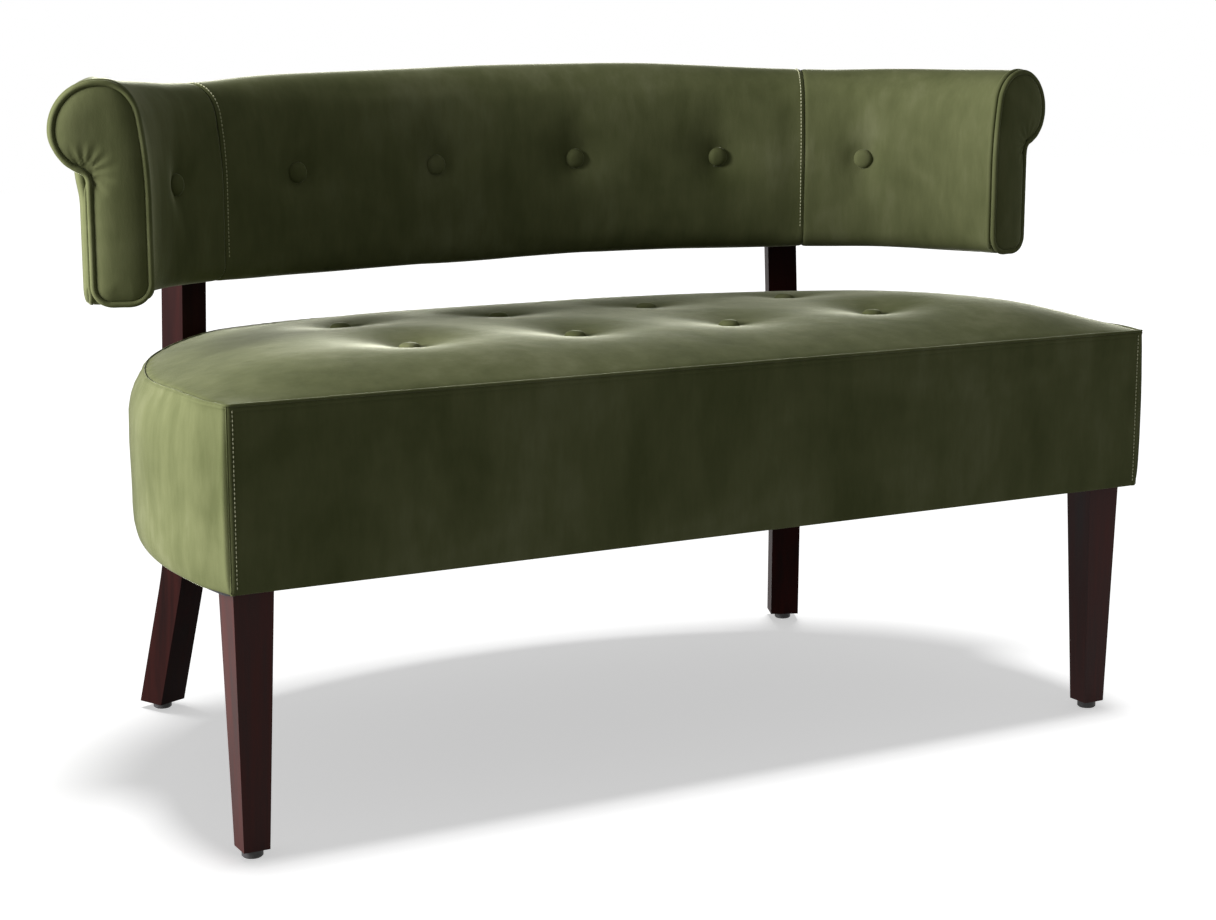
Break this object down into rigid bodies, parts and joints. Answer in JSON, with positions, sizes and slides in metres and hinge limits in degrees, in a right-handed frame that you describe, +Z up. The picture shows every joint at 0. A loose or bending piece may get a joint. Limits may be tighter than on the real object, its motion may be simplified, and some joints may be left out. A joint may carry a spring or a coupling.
{
  "type": "settee",
  "caption": "Upholstered settee with a tufted D-shaped seat, a curved rolled back and arms carried on the rear legs, and tapered wooden front legs.",
  "frame": {"origin": "on the floor, below the middle of the settee's width and depth", "axes": "+X to the right as seen from the front, +Y from the front to the back, +Z up"},
  "size_m": [1.2864, 0.63, 0.765],
  "materials": {
    "velvet": "pile velvet",
    "leg_wood": "dark stain, satin lacquer",
    "frame_wood": "sawn",
    "plywood": "sanded",
    "foam": "matte",
    "wadding": "matte",
    "steel": "zinc plated",
    "twine": "matte",
    "glide_plastic": "matte",
    "dust_cloth": "matte"
  },
  "bodies": {
    "root": {"arm_end_board_left": "frame_wood", "arm_end_board_right": "frame_wood", "arm_facing_left": "velvet", "arm_facing_right": "velvet", "arm_welt_left": "velvet", "arm_welt_right": "velvet", "back_board": "plywood", "back_bottom_rail": "frame_wood", "back_button_ties": "twine", "back_button_washers": "steel", "back_buttons": "velvet", "back_post_screws": "steel", "back_top_rail": "frame_wood", "back_upright_left": "frame_wood", "back_upright_right": "frame_wood", "deck_screws": "steel", "dust_cover": "dust_cloth", "front_corner_block_left": "frame_wood", "front_corner_block_right": "frame_wood", "front_glide_left": "glide_plastic", "front_glide_right": "glide_plastic", "front_leg_bolts": "steel", "front_leg_left": "leg_wood", "front_leg_right": "leg_wood", "front_leg_tee_nuts": "steel", "inside_arm_cover_left": "velvet", "inside_arm_cover_right": "velvet", "inside_arm_foam_left": "foam", "inside_arm_foam_right": "foam", "inside_back_cover": "velvet", "inside_back_foam": "foam", "outside_arm_cover_left": "velvet", "outside_arm_cover_right": "velvet", "outside_back_cover": "velvet", "post_plugs": "leg_wood", "rear_corner_block_left": "frame_wood", "rear_corner_block_right": "frame_wood", "rear_glide_left": "glide_plastic", "rear_glide_right": "glide_plastic", "rear_leg_left": "leg_wood", "rear_leg_right": "leg_wood", "seat_back_rail": "frame_wood", "seat_button_ties": "twine", "seat_button_washers": "steel", "seat_buttons": "velvet", "seat_cross_rail_left": "frame_wood", "seat_cross_rail_right": "frame_wood", "seat_deck": "plywood", "seat_foam": "foam", "seat_front_cover": "velvet", "seat_front_rail": "frame_wood", "seat_post_bolts": "steel", "seat_post_nuts": "steel", "seat_post_washers": "steel", "seat_side_cover": "velvet", "seat_side_padding": "wadding", "seat_side_rail_left": "frame_wood", "seat_side_rail_right": "frame_wood", "seat_top_cover": "velvet"}
  },
  "joints": []
}
